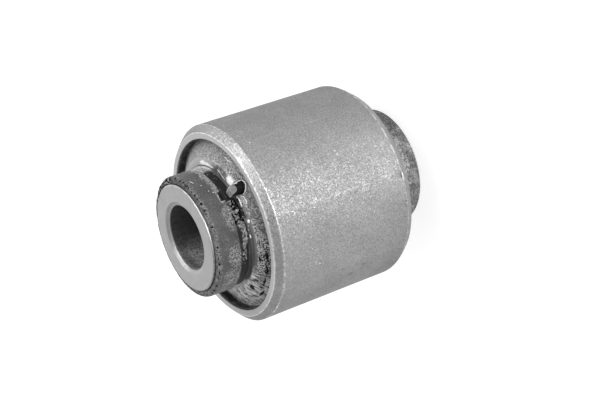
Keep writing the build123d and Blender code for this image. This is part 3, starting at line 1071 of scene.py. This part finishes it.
def lower_wear(end):
    """The lower collar: moulded a little off the bore's axis, and dusty all over."""
    coarse, ragged, level = end.coarse, end.ragged, end.level
    off_axis = smooth(CREST - 0.3, CREST + 0.2, level) * smooth(INNER_R, COLLAR_R, end.radius)
    shift = off_axis * LOWER_COLLAR_SHIFT * np.cos(np.radians(end.azimuth))
    end.radius = end.radius + shift
    coat = end.collar + end.rim
    bare = end.sector(-50, 60, 12)
    near_sleeve = 1 - smooth(SHOULDER, SHOULDER + 3.5, level)
    blotches = smooth(-0.4, 1.0, 0.7 * coarse + 0.5 * ragged - 0.6 * bare + 0.8 * near_sleeve)
    end.push(coat * (0.02 * coarse + 0.02 * ragged))
    end.paint(dust=coat * (0.3 + 0.9 * blotches - 0.3 * bare))
    end.paint(pale=0.25 * coat * blotches * (1 - bare), grain=coat * (0.2 + 0.4 * blotches))
    end.paint(dark=0.6 * coat * bare * smooth(0.1, 0.5, -coarse))
    end.paint(dust=0.3 * end.neck, dark=0.5 * end.neck * smooth(0.0, 0.5, coarse))


def rubber_end(name, side, step, features, material):
    """One end of the moulding as its own mesh; the two meet inside the sleeves, out of sight."""
    end = Moulding(side, step)
    for feature in features:
        feature(end)
    piece = end.piece(name, material)
    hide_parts("rubber_body")
    return end, piece


def gate_stub(material):
    """The rest of the sprue: a squarish column with its sides painted black as shade and a dusty,
    slanted break.
    """
    root = DIMPLE_FLOOR - CREST - 0.3
    corners = [(0, root, 0, 1), (STUB_ROOT_R, root, 0, 0.2)]
    corners += [(STUB_TIP_R, STUB_HEIGHT, 0.1, 0.08), (0, STUB_HEIGHT, 0, 9)]
    stub = Turned(corners, STUB_TURNS)
    ragged = stub.lumps(0.7, 21) + 0.4 * stub.lumps(0.25, 22)
    a = np.radians(stub.azimuth - STUB_TWIST)
    squared = np.abs(np.cos(a)) ** SQUARENESS + np.abs(np.sin(a)) ** SQUARENESS
    squared = squared ** (-1 / SQUARENESS)
    side = smooth(0.6, 0.9, stub.radius)
    top = smooth(STUB_HEIGHT - 0.3, STUB_HEIGHT - 0.1, stub.height)
    share = np.clip(stub.height / STUB_HEIGHT, 0, 1)
    stub.radius = stub.radius * squared * (1 - 0.05 * smooth(0, 1, squared - 1))
    stub.radius = stub.radius + side * 0.06 * ragged
    outward = about_bore(stub.azimuth, stub.radius)[0] * STUB_DEPTH / 2
    slant = math.tan(math.radians(BREAK_SLANT)) * outward + STEEPER * np.maximum(0, outward - 0.1)
    stub.height = stub.height - share * slant + top * 0.06 * ragged
    stub.masks = {
        "dust": top * (0.5 + 0.3 * ragged),
        # Painted shade: the sides are black below the top.
        "hollow": 0.8 * (1 - top),
        "gloss": 0.5 * top,
        "pale": 0.45 * top * side * smooth(0.15, 0.5, ragged),
    }
    piece = stub.piece("gate_stub", material)
    weld(piece)
    piece.data.transform(
        Matrix.Rotation(math.radians(GATE_AZ), 4, "Z")
        @ Matrix.Translation(Vector((GATE_R, 0, CREST)) * MM)
        @ Matrix.Rotation(math.radians(-STUB_LEAN), 4, "Y")
        @ Matrix.Diagonal((STUB_DEPTH / 2, STUB_WIDTH / 2, 1, 1))
    )
    return piece


def weld(piece):
    """Joins the points that lie together, as at a pole."""
    bm = bmesh.new()
    bm.from_mesh(piece.data)
    bmesh.ops.remove_doubles(bm, verts=bm.verts, dist=0.0005 * MM)
    bmesh.ops.dissolve_degenerate(bm, edges=bm.edges, dist=0.0005 * MM)
    bm.to_mesh(piece.data)
    bm.free()


class Scatter:
    """Small closed chips gathered into one mesh, each half sunk in the surface that carries it."""

    def __init__(self, seed):
        self.draw = random.Random(seed)
        self.points, self.faces, self.light = [], [], []

    def chip(self, place, normal, long_way, half_long, half_wide, thickness, light):
        """A crooked slab with a domed top."""
        draw = self.draw
        other = normal.cross(long_way).normalized()
        count = draw.randint(6, 9)
        base, crown = [], []
        for i in range(count):
            a = 2 * math.pi * (i + draw.uniform(-0.3, 0.3)) / count
            flat = long_way * math.cos(a) * half_long + other * math.sin(a) * half_wide
            flat *= draw.uniform(0.65, 1.05)
            base.append(place + flat - normal * thickness * 0.8)
            inward = flat * draw.uniform(0.6, 0.95)
            crown.append(place + inward + normal * thickness * draw.uniform(0.4, 1.0))
        peak = place + normal * thickness * draw.uniform(0.9, 1.3)
        first = len(self.points)
        self.points += base + crown + [peak]
        self.faces.append([first + i for i in range(count)][::-1])
        for i in range(count):
            j = (i + 1) % count
            self.faces.append([first + i, first + j, first + count + j, first + count + i])
            self.faces.append([first + count + i, first + count + j, first + 2 * count])
        self.light += [light] * (2 * count + 1)

    def drift(self, surface, count, azimuths, radii, heights, sizes, light):
        """Crumbs of any shape, scattered over part of a surface."""
        any_of = self.draw.uniform
        for _ in range(count):
            place, normal = surface(any_of(*azimuths), any_of(*radii), any_of(*heights))
            normal = (normal + Vector([any_of(-0.35, 0.35) for _ in range(3)])).normalized()
            long_way = normal.orthogonal().normalized()
            long_way.rotate(Matrix.Rotation(any_of(0, 2 * math.pi), 3, normal))
            size = any_of(*sizes)
            thickness = size * any_of(0.25, 0.5)
            shade = light * any_of(0.5, 1.25)
            self.chip(place, normal, long_way, size, size * any_of(0.45, 1), thickness, shade)

    def thread(self, places, half_wide, light, sides=6, steps=5):
        """A thin strand along a smooth path through the places, pointed at both ends."""
        path = []
        for k in range(len(places) - 1):
            before, after = places[max(k - 1, 0)], places[min(k + 2, len(places) - 1)]
            here, there = places[k], places[k + 1]
            for i in range(steps):
                t = i / steps
                pull = (there - before) * (t - 2 * t ** 2 + t ** 3) / 2
                pull += (after - here) * (t ** 3 - t ** 2) / 2
                path.append(here.lerp(there, t * t * (3 - 2 * t)) + pull)
        path.append(places[-1])
        first = len(self.points)
        last = len(path) - 1
        for k, place in enumerate(path):
            along = (path[min(k + 1, last)] - path[max(k - 1, 0)]).normalized()
            side = along.cross(place).normalized()
            rise = side.cross(along)
            ring = half_wide * (0.25 + 0.75 * math.sin(math.pi * k / last) ** 0.5)
            ring *= self.draw.uniform(0.8, 1.1)
            for m in range(sides):
                a = 2 * math.pi * m / sides
                self.points.append(place + (side * math.cos(a) + rise * math.sin(a)) * ring)
        for row in range(first, first + last * sides, sides):
            for m in range(sides):
                n = (m + 1) % sides
                self.faces.append([row + m, row + n, row + sides + n, row + sides + m])
        self.faces.append([first + m for m in range(sides)][::-1])
        self.faces.append([first + last * sides + m for m in range(sides)])
        self.light += [light] * (last + 1) * sides

    def piece(self, name, material):
        """One mesh; a lightness up to 1 is dust, and what it has above 1 is pale."""
        light = np.array(self.light)
        masks = {"dust": np.clip(light, 0, 1), "pale": np.clip(light - 1, 0, 1)}
        return mesh_piece(name, self.points, self.faces, material, masks)


def on_bead(end, azimuth, radius):
    """The place and the normal on the bead or the conical face."""
    fall = FACE_SLOPE * max(0, radius - NECK_R - BEAD_WIDTH)
    return end.surface(azimuth, radius, CREST - fall)


def crumbs(end, material):
    """Crumbs of flash and torn flakes, where they gathered round the gate."""
    scatter = Scatter(3)
    for drift in CRUMB_DRIFTS:
        scatter.drift(end.surface, *drift)
    for azimuth, radius, half_long, half_wide, turn, light in FLAKES:
        place, normal = on_bead(end, azimuth, radius)
        outward = Vector((*about_bore(azimuth), 0))
        long_way = (outward - normal * outward.dot(normal)).normalized()
        long_way.rotate(Matrix.Rotation(math.radians(turn), 3, normal))
        scatter.chip(place, normal, long_way, half_long, half_wide, FLAKE_THICKNESS, light)
    for half_wide, places in TORN_EDGES:
        path = [on_bead(end, azimuth, radius) for azimuth, radius in places]
        path = [place + normal * TORN_EDGE_RISE for place, normal in path]
        scatter.thread(path, half_wide, TORN_EDGE_LIGHT)
    piece = scatter.piece("flash_crumbs", material)
    return piece


def grit(sleeve, material):
    """Grains of pale dust stuck to the outer sleeve."""
    scatter = Scatter(4)
    for azimuth, height, size in GRAINS:
        place, normal = sleeve.surface(azimuth, OUTER_R, height)
        scatter.chip(place, normal, Vector((0, 0, 1)), size, size * 0.6, GRAIN_THICKNESS, 1)
    piece = scatter.piece("grit_grains", material)
    return piece


def lint(end, material):
    """A few pale fibres that stick to the collar."""
    scatter = Scatter(5)
    up = Vector((0, 0, 1))
    for azimuth, height, turn, length in FIBRES:
        turn = math.radians(turn)
        place, normal = end.surface(azimuth, COLLAR_R, height)
        along = up * math.cos(turn) + up.cross(normal) * math.sin(turn)
        places = []
        for share in (-0.5, 0, 0.5):
            sag = 0.5 * (share * length) ** 2 / COLLAR_R
            bend = along.cross(normal) * FIBRE_BEND * math.sin(share * 5) * length
            places.append(place + along * share * length + normal * (FIBRE_R - sag) + bend)
        scatter.thread(places, FIBRE_R, 1)
    piece = scatter.piece("lint_fibres", material)
    return piece


# ---- Stage ----

def stage():
    """A pale floor under a sky that is brighter near the horizon."""
    half = FLOOR_SIZE / 2
    corners = [(x * half, y * half, -INNER_END) for x, y in ((-1, -1), (1, -1), (1, 1), (-1, 1))]
    mesh_piece("floor", corners, [(0, 1, 2, 3)], pale_floor())
    n = Nodes(bpy.data.worlds.new("studio"), "Background")
    way = n.add("ShaderNodeSeparateXYZ", {0: n.coordinates["Generated"]}).outputs
    fade = n.step(way["Z"], *FADING_SKY, HORIZON_LIGHT, ZENITH_LIGHT)
    dim = n.step(way["X"], *DIMMING_SKY, 1, FAR_DIMMING)
    n.finish(Color=(1, 1, 1, 1), Strength=n.math("MULTIPLY", fade, dim))
    bpy.context.scene.world = n.owner
    bpy.context.scene.view_settings.view_transform = "Standard"


def softbox(name, place, size, watts):
    """A square area light that faces the bush, its place in mm."""
    light = bpy.data.lights.new(name, "AREA")
    light.size = size * MM
    light.energy = watts
    lamp = bpy.data.objects.new(name, light)
    lamp.location = Vector(place) * MM
    lamp.rotation_euler = (-Vector(place)).to_track_quat("-Z", "Y").to_euler()
    lamp.visible_camera = False
    bpy.context.scene.collection.objects.link(lamp)


def camera():
    """The photograph's own view."""
    data = bpy.data.cameras.new("camera")
    data.lens = LENS
    data.sensor_width = SENSOR
    cam = bpy.data.objects.new("camera", data)
    tilt = Matrix.Rotation(math.radians(90 - CAMERA_ELEVATION), 4, "X")
    roll = Matrix.Rotation(math.radians(CAMERA_ROLL), 4, "Z")
    away = Matrix.Translation((0, 0, CAMERA_DISTANCE * MM))
    cam.matrix_world = Matrix.Translation(Vector(CAMERA_AIM) * MM) @ tilt @ roll @ away
    bpy.context.scene.collection.objects.link(cam)
    bpy.context.scene.camera = cam


gated_features = [
    dusty_collar,
    clean_neck,
    crumb_ridge,
    tear,
    mottled_rim,
    bead_and_face,
    torn_bead,
    scoring,
    pale_patches,
    dusty_foot,
    wall_skin,
    dimple,
]
lower_features = [bead_and_face, wall_skin, lower_wear]
rubber_finish = dusty_rubber()
pale_grit = dust_grain()
gated, gated_end = rubber_end("rubber_gated_end", 1, UPPER_STEP, gated_features, rubber_finish)
_, lower_end = rubber_end("rubber_lower_end", -1, LOWER_STEP, lower_features, rubber_finish)
outer, outer_tube = outer_sleeve(phosphated_steel())
pieces = [
    gated_end,
    lower_end,
    outer_tube,
    inner_sleeve(turned_steel()),
    gate_stub(rubber_finish),
    crumbs(gated, rubber_finish),
    grit(outer, pale_grit),
    lint(gated, pale_grit),
]
for made in pieces:
    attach(made, "root")
stage()
softbox("key_light", KEY_PLACE, KEY_SIZE, KEY_WATTS)
softbox("band_light", BAND_PLACE, BAND_SIZE, BAND_WATTS)
camera()
